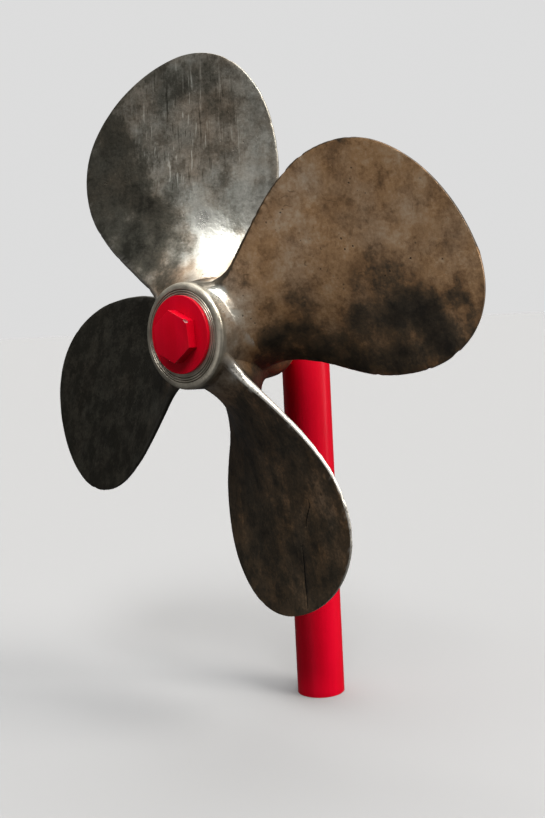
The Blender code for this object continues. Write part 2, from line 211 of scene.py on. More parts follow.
def section_point(blade, around, radius):
    """(along, aft) of a point on a flat section: leading edge at +along, pressure face aft."""
    thinning = (1 - outward_share(radius)) ** THINNING
    thickness = TIP_THICKNESS + (ROOT_THICKNESS - TIP_THICKNESS) * thinning
    edge = edge_thickness(radius)
    (leading, leading_nose), (trailing, trailing_nose) = edges(radius)
    leading -= wear(blade, 1, radius)
    trailing -= wear(blade, 2, radius)
    span = leading + trailing - leading_nose - trailing_nose

    def face(x, pressure):
        if pressure:
            fill = fillet_offset(radius, PRESSURE_FILLET_RISE, PRESSURE_FILLET_REACH)
            return edge / 2 + fill * fillet_share(x)
        fill = fillet_offset(radius, SUCTION_FILLET_RISE, SUCTION_FILLET_REACH)
        swell = math.sin(math.pi * x**SWELL_LEAN) if 0 < x < 1 else 0
        return -(edge / 2 + (thickness - edge) * swell + fill * fillet_share(x))

    if around < NOSE_SHARE:
        angle = math.pi * (0.5 - around / NOSE_SHARE)
        height = abs(face(0, pressure=angle > 0))
        return leading - leading_nose * (1 - math.cos(angle)), height * math.sin(angle)
    if around < 0.5:
        x = (around - NOSE_SHARE) / (0.5 - NOSE_SHARE)
        return leading - leading_nose - span * x, face(x, pressure=False)
    if around < 0.5 + NOSE_SHARE:
        angle = math.pi * ((around - 0.5) / NOSE_SHARE - 0.5)
        height = abs(face(1, pressure=angle > 0))
        return -trailing + trailing_nose * (1 - math.cos(angle)), height * math.sin(angle)
    x = 1 - (around - 0.5 - NOSE_SHARE) / (0.5 - NOSE_SHARE)
    return leading - leading_nose - span * x, face(x, pressure=True)


def soft_limit(value, limit):
    """The value, eased so that it nears the limit and never passes it."""
    excess = value - (limit - FILLET_GIVE)
    if excess <= 0:
        return value
    return limit - FILLET_GIVE * math.exp(-excess / FILLET_GIVE)


def row_radius(row):
    """The radius of a row of the blade's grid, counted from the tip."""
    fillet_top = BOSS_RADIUS + EDGE_FILLET_RISE
    fillet_foot = BOSS_RADIUS - 0.6 * FILLET_SINK
    if row < OUTER_ROWS:
        last = math.sqrt((TIP_RADIUS - fillet_top) / (TIP_RADIUS - ROOT_RADIUS))
        station = FIRST_STATION + (last - FIRST_STATION) * row / OUTER_ROWS
        return TIP_RADIUS - (TIP_RADIUS - ROOT_RADIUS) * station**2
    height = max(0, 1 - (row - OUTER_ROWS) / (FILLET_ROWS - 1)) ** FILLET_ROW_CROWDING
    return fillet_foot + (fillet_top - fillet_foot) * height


def wrapped(along, off, radius):
    """(turn, aft) of a point of a flat section, wrapped at its pitch on its radius's cylinder."""
    helix = pitch_angle(radius)
    turn = (along * math.cos(helix) + off * math.sin(helix)) / radius
    return turn, off * math.cos(helix) - along * math.sin(helix) - rake(radius)


def on_cylinder(radius, turn, aft):
    """A place in the shaft frame, its turn counted from the top to the right."""
    return Vector((radius * math.sin(turn), radius * math.cos(turn), aft))


def blade_point(blade, around, row):
    """A point of the blade's grid in its place, its faces a little uneven from hand grinding."""
    radius = row_radius(row)
    along, off = section_point(blade, around, radius)
    place = Vector((along, radius, blade + math.copysign(FACE_SEED, off)))
    uneven = sum(height * noise.noise(place * bumps) for bumps, height in GRINDING)
    turn, aft = wrapped(along, off + uneven, radius)
    if radius < BOSS_RADIUS + PRESSURE_FILLET_RISE:
        aft = soft_limit(aft, BOSS_AFT_END - TURNED_EDGE_DEPTH + FILLET_SINK / 2)
        aft = -soft_limit(-aft, BOSS_FORWARD_END - BOSS_FORWARD_ROUND)
    buried = row == OUTER_ROWS + FILLET_ROWS
    return on_cylinder(BURIED_RADIUS if buried else radius, turn, aft)


SHARP_ANGLE = math.radians(30)
MERGE_DISTANCE = 0.00001


def link(name, data):
    """A new object in the scene, made of this mesh, curve, camera or lamp."""
    thing = bpy.data.objects.new(name, data)
    bpy.context.scene.collection.objects.link(thing)
    return thing


def piece_from(name, shape, place=SHAFT_FRAME):
    """A finished bmesh put in its place, shaded smooth with its hard edges kept."""
    bmesh.ops.transform(shape, matrix=place, verts=shape.verts)
    bmesh.ops.recalc_face_normals(shape, faces=shape.faces)
    mesh = bpy.data.meshes.new(name)
    shape.to_mesh(mesh)
    shape.free()
    mesh.shade_smooth()
    mesh.set_sharp_from_angle(angle=SHARP_ANGLE)
    return link(name, mesh)


def blade_blank(blade):
    """A blade on its own, bent from a flat grid whose columns go round its section."""
    rows = OUTER_ROWS + FILLET_ROWS
    shape = bmesh.new()
    bmesh.ops.create_grid(shape, x_segments=POINTS_ROUND, y_segments=rows, size=0.5)
    for vert in shape.verts:
        column = round((vert.co.x + 0.5) * POINTS_ROUND)
        row = round((vert.co.y + 0.5) * rows)
        vert.co = blade_point(blade, column / POINTS_ROUND, row)
    bmesh.ops.remove_doubles(shape, verts=shape.verts, dist=MERGE_DISTANCE)
    ends = [edge for edge in shape.edges if edge.is_boundary]
    bmesh.ops.holes_fill(shape, edges=ends, sides=0)
    turn = Matrix.Rotation(-BLADE_TURN - math.tau * blade / BLADE_COUNT, 4, "Z")
    return piece_from(f"blade_blank_{blade + 1}", shape, SHAFT_FRAME @ turn)


def spun(profile, steps):
    """A bmesh of a closed outline of (radius, height) points, spun a full turn round Z."""
    shape = bmesh.new()
    verts = [shape.verts.new((radius, 0, height)) for radius, height in profile]
    sides = [shape.edges.new(pair) for pair in zip(verts, verts[1:] + verts[:1])]
    bmesh.ops.spin(
        shape,
        geom=verts + sides,
        axis=(0, 0, 1),
        angle=math.tau,
        steps=steps,
        use_merge=True,
    )
    bmesh.ops.remove_doubles(shape, verts=shape.verts, dist=MERGE_DISTANCE)
    return shape


def boss_profile():
    """The bored boss: down its outer side, across its forward face and back up the bore."""
    round_start = -BOSS_FORWARD_END + BOSS_FORWARD_ROUND
    body_top = BOSS_AFT_END - TURNED_EDGE_DEPTH
    points = [(BORE_AFT_RADIUS, BOSS_AFT_END), (TURNED_EDGE_RADIUS, BOSS_AFT_END)]
    crown = BOSS_RADIUS - (TURNED_EDGE_RADIUS + BOSS_FORWARD_RADIUS) / 2
    for i in range(BARREL_STEPS + 1):
        t = i / BARREL_STEPS
        line = TURNED_EDGE_RADIUS + (BOSS_FORWARD_RADIUS - TURNED_EDGE_RADIUS) * t
        points.append((line + crown * 4 * t * (1 - t), body_top + (round_start - body_top) * t))
    for angle in range(15, 91, 15):
        a = math.radians(angle)
        radius = BOSS_FORWARD_RADIUS - BOSS_FORWARD_ROUND * (1 - math.cos(a))
        points.append((radius, round_start - BOSS_FORWARD_ROUND * math.sin(a)))
    points.append((BORE_FORWARD_RADIUS, -BOSS_FORWARD_END))
    return points


# Grooves that the lathe left in the boss's end face, from the outer one in: radius, half width
# and depth
GROOVES = ((0.1884, 0.0031, 0.0046), (0.1790, 0.0028, 0.0038), (0.1690, 0.0026, 0.0032))
FACING = 0.0002
FACED_FROM = 0.120


def turning_profile():
    """What the lathe takes off: it faces the fillets, rounds the edge and cuts the grooves."""
    foot = BOSS_AFT_END - TURNED_EDGE_DEPTH
    clear = BOSS_AFT_END + TURNED_EDGE_DEPTH
    face = BOSS_AFT_END - FACING
    edge_width = TURNED_EDGE_RADIUS - BOSS_FACE_RADIUS
    outside = TURNED_EDGE_RADIUS + TURNING_REACH
    points = [(outside, clear), (outside, foot)]
    for angle in range(0, 91, 10):
        a = math.radians(angle)
        radius = BOSS_FACE_RADIUS + edge_width * math.cos(a)
        points.append((radius, foot + (face - foot) * math.sin(a)))
    for radius, half_width, depth in GROOVES:
        points.append((radius + half_width, face))
        points.append((radius, face - depth))
        points.append((radius - half_width, face))
    points.append((FACED_FROM, face))
    points.append((FACED_FROM, clear))
    return points


def evaluated_mesh(thing):
    """The mesh that a curve or a piece with modifiers amounts to."""
    seen = thing.evaluated_get(bpy.context.evaluated_depsgraph_get())
    return bpy.data.meshes.new_from_object(seen)


def combine(piece, operation, others):
    """Join other pieces to a piece or cut them from it, and use them up."""
    for other in others:
        modifier = piece.modifiers.new(other.name, "BOOLEAN")
        modifier.operation = operation
        modifier.object = other
        modifier.material_mode = "TRANSFER"
    piece.data = evaluated_mesh(piece)
    piece.modifiers.clear()
    for other in others:
        bpy.data.objects.remove(other)


class Tone:
    """A number that varies over a surface. Arithmetic on it adds Math nodes to its material."""

    def __init__(self, finish, socket):
        self.finish = finish
        self.socket = socket

    def math(self, operation, first, second):
        node = self.finish.node("ShaderNodeMath", {"operation": operation}, {0: first, 1: second})
        return Tone(self.finish, node.outputs["Value"])

    def __add__(self, other):
        return self.math("ADD", self, other)

    def __radd__(self, other):
        return self.math("ADD", other, self)

    def __sub__(self, other):
        return self.math("SUBTRACT", self, other)

    def __rsub__(self, other):
        return self.math("SUBTRACT", other, self)

    def __mul__(self, other):
        return self.math("MULTIPLY", self, other)

    def __rmul__(self, other):
        return self.math("MULTIPLY", other, self)


class Finish:
    """A new material. Every node that is added to it comes from its node method."""

    def __init__(self, name, constants):
        self.material = bpy.data.materials.new(name)
        self.material.use_nodes = True
        self.tree = self.material.node_tree
        self.shader = self.tree.nodes["Principled BSDF"]
        for socket, value in constants.items():
            self.shader.inputs[socket].default_value = value

    def node(self, kind, settings, sockets):
        """A node of this type, its settings set first and then its sockets filled or linked."""
        made = self.tree.nodes.new(kind)
        for name, value in settings.items():
            if name == "stops":
                self.set_stops(made.color_ramp, value)
            else:
                setattr(made, name, value)
        for name, value in sockets.items():
            self.feed(made.inputs[name], value)
        return made

    def set_stops(self, ramp, stops):
        """Give a colour ramp its (position, colour) stops."""
        while len(ramp.elements) < len(stops):
            ramp.elements.new(1.0)
        for element, (position, colour) in zip(ramp.elements, stops):
            element.position = position
            element.color = (*colour, 1)

    def feed(self, socket, value):
        """Link a varying value to a socket, or set a plain one on it."""
        if isinstance(value, Tone):
            self.tree.links.new(value.socket, socket)
        elif isinstance(value, bpy.types.NodeSocket):
            self.tree.links.new(value, socket)
        else:
            socket.default_value = value

    def use(self, socket, value):
        """Feed one of the shader's own sockets."""
        self.feed(self.shader.inputs[socket], value)

    def attribute(self, name):
        """A value that is painted on the mesh's points."""
        node = self.node("ShaderNodeAttribute", {"attribute_name": name}, {})
        return Tone(self, node.outputs["Fac"])

    def place(self, stretch=(1, 1, 1), shift=(0, 0, 0)):
        """Object coordinates, stretched and shifted."""
        source = self.node("ShaderNodeTexCoord", {}, {}).outputs["Object"]
        sockets = {"Vector": source, "Scale": stretch, "Location": shift}
        return self.node("ShaderNodeMapping", {}, sockets).outputs["Vector"]

    def grain(self, scale, detail=4.0, roughness=0.55, place=None, distortion=0.0):
        """Noise from 0 to 1."""
        sockets = {
            "Vector": place or self.place(),
            "Scale": scale,
            "Detail": detail,
            "Roughness": roughness,
            "Distortion": distortion,
        }
        node = self.node("ShaderNodeTexNoise", {}, sockets)
        return Tone(self, node.outputs[0])

    def cells(self, scale):
        """Distance to the nearest of many scattered points."""
        sockets = {"Vector": self.place(), "Scale": scale}
        node = self.node("ShaderNodeTexVoronoi", {}, sockets)
        return Tone(self, node.outputs["Distance"])

    def between(self, value, low, high):
        """0 up to the low end, 1 from the high end on, and a smooth step between them."""
        settings = {"interpolation_type": "SMOOTHSTEP"}
        sockets = {"Value": value, "From Min": low, "From Max": high}
        node = self.node("ShaderNodeMapRange", settings, sockets)
        return Tone(self, node.outputs["Result"])

    def blend(self, share, first, second):
        """A colour on the way from the first to the second."""
        # A Mix node has like-named sockets for every type, so those for colours go by number
        sockets = {0: share}
        for number, colour in ((6, first), (7, second)):
            varies = isinstance(colour, bpy.types.NodeSocket)
            sockets[number] = colour if varies else (*colour, 1)
        return self.node("ShaderNodeMix", {"data_type": "RGBA"}, sockets).outputs[2]

    def ramp(self, value, *stops):
        """A colour read from (position, colour) stops."""
        return self.node("ShaderNodeValToRGB", {"stops": stops}, {"Fac": value}).outputs["Color"]

    def relief(self, *layers):
        """Bump from (height, depth in metres) layers, each laid over the one before."""
        normal = None
        for height, depth in layers:
            sockets = {"Height": height, "Distance": depth, "Strength": 1.0}
            if normal:
                sockets["Normal"] = normal
            normal = self.node("ShaderNodeBump", {}, sockets).outputs["Normal"]
        self.use("Normal", normal)


def crack_black():
    """Near-black colour for the cracks."""
    crack_finish = Finish("crack_black", {"Specular IOR Level": 0.1})
    grit = crack_finish.grain(120, detail=4)
    black = crack_finish.ramp(grit, (0.35, (0.001, 0.001, 0.001)), (0.70, (0.009, 0.008, 0.006)))
    crack_finish.use("Base Color", black)
    crack_finish.use("Roughness", 0.80 + 0.2 * (grit - 0.5))
    crack_finish.relief((grit, 0.0005))
    return crack_finish.material


CRACK_BLACK = crack_black()

# Two cracks in the bottom blade, as (along, radius) places on its nut side
CRACKED_BLADE = 2
CRACKS = (
    ((-0.335, 0.812), (-0.318, 0.840), (-0.292, 0.852), (-0.262, 0.872), (-0.246, 0.892)),
    (
        (-0.176, 0.945),
        (-0.163, 0.985),
        (-0.149, 1.030),
        (-0.131, 1.080),
        (-0.115, 1.140),
        (-0.097, 1.195),
    ),
)
CRACK_HALF_WIDTH = 0.0038
CRACK_END_SHARE = 0.25
CRACK_DEPTH = 0.005


def crack_cutter(name, line):
    """A thin wedge that follows the line on the blade's face, widest in its middle."""
    shape = bmesh.new()
    rings = []
    turned = BLADE_TURN + math.tau * CRACKED_BLADE / BLADE_COUNT
    for i, (along, radius) in enumerate(line):
        half = CRACK_HALF_WIDTH * (CRACK_END_SHARE + math.sin(math.pi * i / (len(line) - 1)))
        face = edge_thickness(radius) / 2
        above, below = face + CRACK_DEPTH, face - CRACK_DEPTH
        corners = []
        for side, off in ((-2, above), (2, above), (0, below)):
            turn, aft = wrapped(along + side * half, off, radius)
            corners.append(shape.verts.new(on_cylinder(radius, turn + turned, aft)))
        rings.append([shape.edges.new((corners[j], corners[j - 1])) for j in range(3)])
    for here, there in zip(rings, rings[1:]):
        bmesh.ops.bridge_loops(shape, edges=here + there)
    bmesh.ops.holes_fill(shape, edges=rings[0] + rings[-1], sides=0)
    wedge = piece_from(name, shape)
    wedge.data.materials.append(CRACK_BLACK)
    return wedge


# Chips knocked out of the boss's turned edge: degrees from the right to the top, and size
EDGE_CHIPS = ((-97, 0.0075), (-88, 0.0045), (-128, 0.0050), (152, 0.0035))
# How rough a chip's lump is, and how many bumps it has to its radius
CHIP_ROUGHNESS = 0.7
CHIP_BUMPS = 1.3


def round_axis(radius, angle, height):
    """A place round the Z axis of its frame, its angle counted from X to Y."""
    return Vector((radius * math.cos(angle), radius * math.sin(angle), height))


def chip_cutter(name, place, size, seed):
    """A rough lump whose overlap with a piece is knocked out of it."""
    lump = bmesh.new()
    bmesh.ops.create_icosphere(lump, subdivisions=3, radius=size)
    for vert in lump.verts:
        bumps = noise.noise(vert.co * (CHIP_BUMPS / size) + Vector((seed, 0, 0)))
        vert.co *= 1 + CHIP_ROUGHNESS * bumps
    return piece_from(name, lump, SHAFT_FRAME @ Matrix.Translation(place))


def edge_chip(number, angle, size):
    """A chip's cutter, its middle a little outside the turned edge."""
    aft = BOSS_AFT_END - 0.4 * TURNED_EDGE_DEPTH
    place = round_axis(TURNED_EDGE_RADIUS + 0.2 * size, math.radians(angle), aft)
    return chip_cutter(f"chip_{number}", place, size, number)


def keyway_cutter():
    """A bar that reaches from the shaft line to the bottom of the keyway."""
    slot = bmesh.new()
    bmesh.ops.create_cube(slot, size=1)
    height = BORE_FORWARD_RADIUS + KEYWAY_DEPTH
    bmesh.ops.scale(slot, vec=(KEYWAY_WIDTH, height, 2 * KEYWAY_LENGTH), verts=slot.verts)
    bmesh.ops.translate(slot, vec=(0, height / 2, -BOSS_FORWARD_END), verts=slot.verts)
    return piece_from("keyway", slot)


def cast_propeller():
    """The boss with its blades run into it, then cracked, chipped, turned and slotted."""
    boss = piece_from("propeller_casting", spun(boss_profile(), BOSS_STEPS))
    boss.data.materials.append(weathered_bronze())
    combine(boss, "UNION", [blade_blank(blade) for blade in range(BLADE_COUNT)])
    cuts = [crack_cutter(f"crack_{number}", line) for number, line in enumerate(CRACKS)]
    cuts += [edge_chip(number, *chip) for number, chip in enumerate(EDGE_CHIPS)]
    cuts.append(piece_from("turning", spun(turning_profile(), BOSS_STEPS)))
    cuts.append(keyway_cutter())
    combine(boss, "DIFFERENCE", cuts)
    return boss


# Values painted on the casting's points. Besides patina, warmth and wear, the first three carry
# painted light: painted shade and highlight in the first, painted reflection and greyed painted
# highlight in the second, and painted highlight along the trailing edges in the third
PAINTED_LAYERS = ("patina", "warmth", "worn", "turned", "grooved", "dripped")


def tool_marks_of(bronze):
    """Fine rings round the shaft line, as a lathe leaves them."""
    flat = bronze.place((1, 0, 1), (0, 0, -HUB.z))
    from_shaft = bronze.node("ShaderNodeVectorMath", {"operation": "LENGTH"}, {0: flat})
    rings = bronze.node("ShaderNodeCombineXYZ", {}, {"X": from_shaft.outputs["Value"]})
    return bronze.grain(420, detail=3, place=rings.outputs["Vector"])


def hairlines_of(bronze):
    """Hairline cracks: where a noise crosses its middle, broken into short pieces."""
    wander = bronze.grain(7, detail=2, roughness=0.45, place=bronze.place(shift=(7, 0, 0)))
    kept = bronze.between(bronze.grain(16, detail=3, roughness=0.6), 0.57, 0.64)
    from_line = (wander - 0.5) * (wander - 0.5)
    return kept * (1 - bronze.between(from_line, 0.000003, 0.00004))


def flecks_of(bronze, speckle):
    """Flecks where the sea has eaten into the metal, in loose swarms."""
    thick = bronze.grain(6, detail=4, place=bronze.place(shift=(0, 5, 0)))
    edge = bronze.cells(44) + 0.75 * (speckle - 0.5)
    return bronze.between(thick, 0.53, 0.65) * (1 - bronze.between(edge, 0.04, 0.17))


def patina_colour(bronze, depth, warmth):
    """From pale thin patina to dark thick patina, grey where it is cool and brown where warm."""
    cool = bronze.ramp(
        depth,
        (0.0, (0.62, 0.61, 0.55)),
        (0.26, (0.33, 0.325, 0.285)),
        (0.46, (0.165, 0.158, 0.132)),
        (0.62, (0.082, 0.078, 0.062)),
        (1.0, (0.020, 0.019, 0.014)),
    )
    warm = bronze.ramp(
        depth,
        (0.0, (0.56, 0.42, 0.28)),
        (0.26, (0.42, 0.245, 0.118)),
        (0.46, (0.238, 0.130, 0.059)),
        (0.60, (0.108, 0.067, 0.035)),
        (0.80, (0.046, 0.033, 0.020)),
        (1.0, (0.020, 0.015, 0.010)),
    )
    tint = bronze.grain(5.5, detail=5, place=bronze.place(shift=(3.1, 0, 0)))
    return bronze.blend(warmth + 0.9 * (tint - 0.50), cool, warm)


def weathered_bronze():
    """Brown and grey patina over cast bronze, streaked, pitted and cracked, bright where worn and
    where a highlight is painted, with painted shade and reflection carried by its painted values.
    """
    bronze = Finish("weathered_bronze", {"Specular IOR Level": 0.35})
    patina, warmth, worn, turned, grooved, dripped = map(bronze.attribute, PAINTED_LAYERS)

    cloud = bronze.grain(3.4, detail=8, roughness=0.62, distortion=0.3)
    mottle = bronze.grain(15, detail=8, roughness=0.66)
    speckle = bronze.grain(75, detail=4, roughness=0.6)
    streaks = bronze.grain(26, detail=5, roughness=0.62, place=bronze.place((1, 1, 0.07)))
    blotches = bronze.between(bronze.grain(9, detail=8, roughness=0.7), 0.46, 0.58)
    depth = (
        patina
        + 0.42 * (cloud - 0.5)
        + 0.50 * (mottle - 0.5)
        + 0.40 * (speckle - 0.5)
        + 0.26 * (streaks - 0.5)
        + 0.13 * (blotches - 0.5)
    )

    # Drips of lime and polish have run down the top blade, pale beside dark
    drips = bronze.grain(80, detail=3, roughness=0.5, place=bronze.place((1, 1, 0.030)))
    pale_drips = dripped * bronze.between(drips, 0.60, 0.70)
    dark_drips = dripped * (1 - bronze.between(drips, 0.30, 0.40))
    depth = depth + 0.30 * dark_drips - 0.40 * pale_drips

    hairlines = hairlines_of(bronze)
    flecks = flecks_of(bronze, speckle)
    tool_marks = tool_marks_of(bronze)
    colour = patina_colour(bronze, depth, warmth)
    colour = bronze.blend((0.12 + 0.30 * warmth) * hairlines, colour, (0.020, 0.015, 0.010))
    colour = bronze.blend(0.85 * flecks, colour, (0.030, 0.025, 0.018))

    machined = bronze.ramp(
        0.45 * tool_marks + 0.55 * mottle,
        (0.34, (0.25, 0.225, 0.175)),
        (0.62, (0.74, 0.680, 0.560)),
    )
    colour = bronze.blend(0.9 * turned, colour, machined)
    # The groove bottoms are painted near black
    colour = bronze.blend(0.92 * grooved, colour, (0.020, 0.016, 0.011))
    # Bright edges: bare worn metal, and on the trailing edges a painted highlight
    bright_edge = bronze.ramp(
        0.5 * speckle + 0.5 * mottle,
        (0.36, (0.10, 0.08, 0.055)),
        (0.46, (0.82, 0.78, 0.70)),
    )
    bronze.use("Base Color", bronze.blend(worn, colour, bright_edge))
    bronze.use("Metallic", 0.86 - 0.52 * warmth * (1 - worn) * (1 - turned))
    rough = 0.30 + 0.22 * patina + 0.30 * (mottle - 0.5) + 0.20 * (cloud - 0.5)
    bronze.use("Roughness", rough + 0.25 * flecks)
    pits = bronze.between(bronze.cells(70), 0.02, 0.11)
    bronze.relief(
        (cloud, 0.006),
        (mottle, 0.0016),
        (speckle, 0.0006),
        (pits, 0.0005),
        (1 - flecks, 0.0008),
        (dripped * streaks, 0.0012),
        (turned * tool_marks, 0.0005),
    )
    return bronze.material


# For each blade, from the top one round to the left one: how dark and how warm its faces are, partly
# patina and partly painted shade and reflection that stand for how that blade is lit; how bright its
# trailing edge is, partly worn bare and partly painted highlight, brightest on the bottom blade; and
# how dark the painted shade along that trailing edge is, darkest on the right blade
BLADE_PATINA_AND_SHADE = (0.40, 0.32, 0.71, 0.95)
BLADE_WARMTH_AND_REFLECTION = (0.12, 0.95, 0.80, 0.22)
TRAILING_WEAR_AND_HIGHLIGHT = (0.22, 0.0, 1.0, 0.05)
TRAILING_EDGE_SHADE = (0.10, 0.42, 0.0, 0.20)
LEADING_SHINE = 0.10
# How far in from an edge its band of wear, painted highlight and painted shade is full, and where it
# ends, in lengths of the edge's nose
EDGE_BAND_REACH = (0.75, 1.15)
BOSS_PATINA = 0.44
BOSS_WARMTH = 0.50
# The boss, forward of its nut end, is painted a little darker and browner, and much less metallic
BOSS_FORWARD_DARK = 0.07
BOSS_FORWARD_WARMTH = 1.2
BACK_DARK = 0.24
# How fast the colour turns grey where a patch pales it by more than this change: paler patina turns
# grey, and so do the painted highlights
PALE_CHANGE = -0.10
PALE_GREYING = 1.1
# Darker and paler patches, partly patina and partly painted light: blade, place along and out, reach
# along and out, change of patina
PATINA_AND_LIGHT_PATCHES = (
    (0, -0.42, 0.90, 0.24, 0.42, 0.34),
    (0, -0.30, 0.58, 0.15, 0.18, 0.36),
    (0, -0.17, 0.60, 0.10, 0.10, 0.14),
    (0, 0.02, 1.10, 0.22, 0.10, 0.22),
    (0, 0.20, 0.98, 0.10, 0.06, 0.16),
    (0, 0.06, 0.80, 0.08, 0.10, 0.12),
    (0, 0.34, 0.80, 0.08, 0.34, -0.10),
    (0, 0.24, 0.56, 0.12, 0.18, -0.25),
    (0, -0.02, 0.58, 0.10, 0.12, -0.16),
    # Painted highlight: the pale hot spot on the top blade's root
    (0, 0.03, 0.37, 0.10, 0.20, -0.42),
    (0, -0.05, 0.25, 0.11, 0.13, -0.46),
    (0, -0.11, 0.42, 0.05, 0.09, 0.16),
    (0, -0.18, 0.31, 0.08, 0.09, 0.34),
    (1, 0.24, 0.62, 0.20, 0.48, 0.28),
    (1, 0.37, 0.72, 0.12, 0.46, 0.26),
    (1, 0.15, 0.41, 0.11, 0.14, 0.23),
    (1, 0.28, 1.06, 0.14, 0.12, 0.20),
    (1, 0.03, 0.275, 0.06, 0.07, 0.17),
    (1, 0.06, 0.80, 0.17, 0.22, 0.22),
    (1, -0.36, 0.60, 0.10, 0.12, -0.06),
    (1, 0.15, 1.12, 0.16, 0.03, 0.16),
    # Painted highlight: a pale patch by the boss, in the valley between the top and the right blade
    (1, -0.20, 0.22, 0.08, 0.05, -0.26),
    (1, 0.26, 0.96, 0.12, 0.18, 0.16),
    (1, 0.02, 0.42, 0.12, 0.12, 0.24),
    (1, -0.43, 0.68, 0.04, 0.10, 0.14),
    # Painted highlight: two more pale patches by the boss in that valley
    (1, -0.25, 0.23, 0.06, 0.05, -0.36),
    (1, -0.14, 0.25, 0.12, 0.07, -0.22),
    (2, -0.44, 0.86, 0.14, 0.20, -0.18),
    (2, -0.11, 0.68, 0.03, 0.04, 0.16),
    (2, -0.19, 0.97, 0.12, 0.06, 0.12),
    (2, 0.10, 0.80, 0.14, 0.40, 0.14),
    # Painted highlight: two pale patches by the boss, at the root of the bottom blade's trailing
    # side
    (2, -0.30, 0.28, 0.12, 0.05, -0.20),
    (2, -0.36, 0.22, 0.10, 0.04, -0.20),
    (3, -0.29, 0.42, 0.06, 0.18, -0.22),
    (3, -0.54, 0.88, 0.05, 0.14, -0.12),
)
# Where drips have run down the top blade: place along and out, and reach along and out
DRIPPED_BLADE = 0
DRIPS = (0.01, 0.92, 0.30, 0.34)
# How far off the turned surface a point may lie and still count as turned
TURNED_GIVE = 0.001


def blade_place(shaft_place):
    """(blade, along, radius, off) of a place in the shaft frame, on the blade nearest to it."""
    radius = math.hypot(shaft_place.x, shaft_place.y)
    helix = pitch_angle(radius)
    back = shaft_place.z + rake(radius)
    best = None
    from_top = math.atan2(shaft_place.x, shaft_place.y) - BLADE_TURN
    for blade in range(BLADE_COUNT):
        turn = from_top - math.tau * blade / BLADE_COUNT
        turn = (turn + math.pi) % math.tau - math.pi
        along = turn * radius * math.cos(helix) - back * math.sin(helix)
        off = turn * radius * math.sin(helix) + back * math.cos(helix)
        if best is None or abs(off) < abs(best[3]):
            best = (blade, along, radius, off)
    return best


def eased(value, low, high):
    """0 up to the low value, 1 from the high one on, and a smooth step between them."""
    share = min(1, max(0, (value - low) / (high - low)))
    return share * share * (3 - 2 * share)


def away_from(along, radius, middle, out, reach_along, reach_out):
    """How far off a patch's middle a point lies, 1 at its outline."""
    return math.hypot((along - middle) / reach_along, (radius - out) / reach_out)


def patch_change(blade, along, radius, place):
    """How much the patches near this place darken or pale it, their outlines broken by noise."""
    total = 0.0
    ragged = 0.45 * noise.noise(place * 7) + 0.25 * noise.noise(place * 19)
    for its_blade, *patch, change in PATINA_AND_LIGHT_PATCHES:
        if its_blade == blade:
            away = away_from(along, radius, *patch)
            total += change * (1 - eased(away + ragged, 0.35, 1.25))
    return total


def edge_bands(along, radius, place):
    """How much a point belongs to the trailing and to the leading edge, 1 on the edge itself."""
    (leading, leading_nose), (trailing, trailing_nose) = edges(radius)
    ragged = 0.30 * noise.noise(place * 45)
    by_trailing = 1 - eased((along + trailing) / trailing_nose + ragged, *EDGE_BAND_REACH)
    by_leading = 1 - eased((leading - along) / leading_nose + ragged, *EDGE_BAND_REACH)
    return by_trailing, by_leading


def painted_values(at, place):
    """What the finish reads at a point, given in the shaft frame and in the scene."""
    blade, along, radius, off = blade_place(at)
    on_blade = eased(radius, BOSS_RADIUS - 0.01, BOSS_RADIUS + 0.16)
    on_boss = 1 - eased(radius, BOSS_RADIUS, BOSS_RADIUS + 0.06)
    forward = (1 - on_blade) * (1 - eased(at.z, 0.05, 0.20))
    nut_side = max(eased(off, -0.004, 0.002), on_boss * eased(at.z, -0.05, 0.10))
    change = nut_side * patch_change(blade, along, radius, place)
    by_trailing, by_leading = edge_bands(along, radius, place)

    # Patina, with painted shade and highlight: each blade's painted shade, the patches of painted
    # light and the painted shade along the trailing edge
    patina = BOSS_PATINA + (BLADE_PATINA_AND_SHADE[blade] - BOSS_PATINA) * on_blade
    patina += change
    patina += (1 - nut_side) * BACK_DARK * (0.5 + noise.noise(place * 2.2))
    patina += BOSS_FORWARD_DARK * forward
    patina += TRAILING_EDGE_SHADE[blade] * by_trailing
    # Warmth, with painted reflection for how each blade is lit, greyed where a painted highlight
    # pales it
    warmth = BOSS_WARMTH + (BLADE_WARMTH_AND_REFLECTION[blade] - BOSS_WARMTH) * on_blade
    warmth += (BOSS_FORWARD_WARMTH - warmth) * forward
    warmth += PALE_GREYING * min(0, change - PALE_CHANGE)
    # Wear of the edges, with a painted highlight along the trailing edges
    worn = max(by_trailing * TRAILING_WEAR_AND_HIGHLIGHT[blade], by_leading * LEADING_SHINE)

    turned_from = BOSS_AFT_END - TURNED_EDGE_DEPTH - TURNED_GIVE
    turned = radius < TURNED_EDGE_RADIUS + TURNED_GIVE and at.z > turned_from
    below_face = at.z < BOSS_AFT_END - 2 * TURNED_GIVE
    among_grooves = FACED_FROM < radius < GROOVES[0][0] + TURNED_GIVE
    dripped = 1 - eased(away_from(along, radius, *DRIPS), 0.4, 1.1)
    return {
        "patina": patina,
        "warmth": warmth,
        "worn": worn * eased(radius, BOSS_RADIUS, BOSS_RADIUS + 0.03),
        "turned": float(turned),
        "grooved": float(turned and below_face and among_grooves),
        "dripped": dripped if blade == DRIPPED_BLADE else 0.0,
    }


def paint_finish_values(mesh):
    """Paint on the casting's points the values that its finish reads."""
    for name in PAINTED_LAYERS:
        mesh.attributes.new(name, "FLOAT", "POINT")
    layers = {name: mesh.attributes[name].data for name in PAINTED_LAYERS}
    to_shaft = SHAFT_FRAME.inverted()
    for vert in mesh.vertices:
        for name, value in painted_values(to_shaft @ vert.co, vert.co).items():
            layers[name][vert.index].value = value


